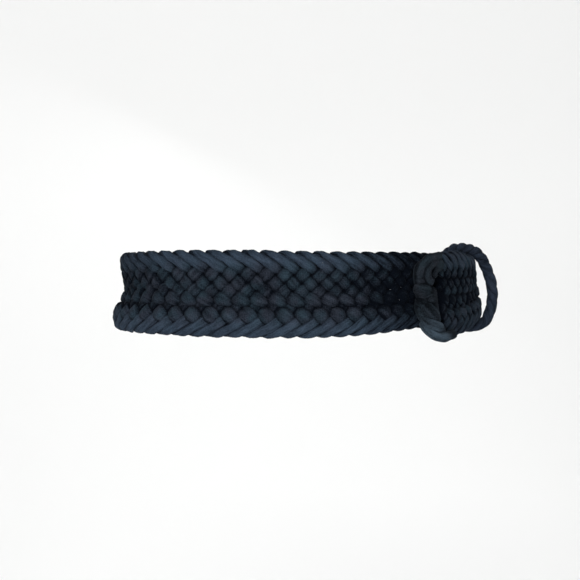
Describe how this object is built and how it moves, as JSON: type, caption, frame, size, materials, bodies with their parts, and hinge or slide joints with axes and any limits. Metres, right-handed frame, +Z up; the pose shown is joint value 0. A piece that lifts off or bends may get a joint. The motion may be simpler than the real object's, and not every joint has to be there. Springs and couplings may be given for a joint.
{
  "type": "rope belt",
  "caption": "Wide flat belt braided from soft dark cord, shown closed round the waist: one end passes through a twisted rope eye and finishes in a bulky turned knot.",
  "frame": {"origin": "on the vertical axis of the waist that the belt goes round, at the mid height of the braid at the front", "axes": "+Z up, -Y towards the front, +X towards the knot and the rope eye, which is the right as seen from the front"},
  "size_m": [0.3012, 0.213, 0.0729],
  "materials": {
    "braid_cord": "soft matt knitted cord",
    "twisted_rope": "matt twisted rope",
    "knot_cord": "soft matt knitted cord"
  },
  "bodies": {
    "root": {"braided_band": "braid_cord", "closure_loop": "twisted_rope", "end_knot": "knot_cord"}
  },
  "joints": []
}
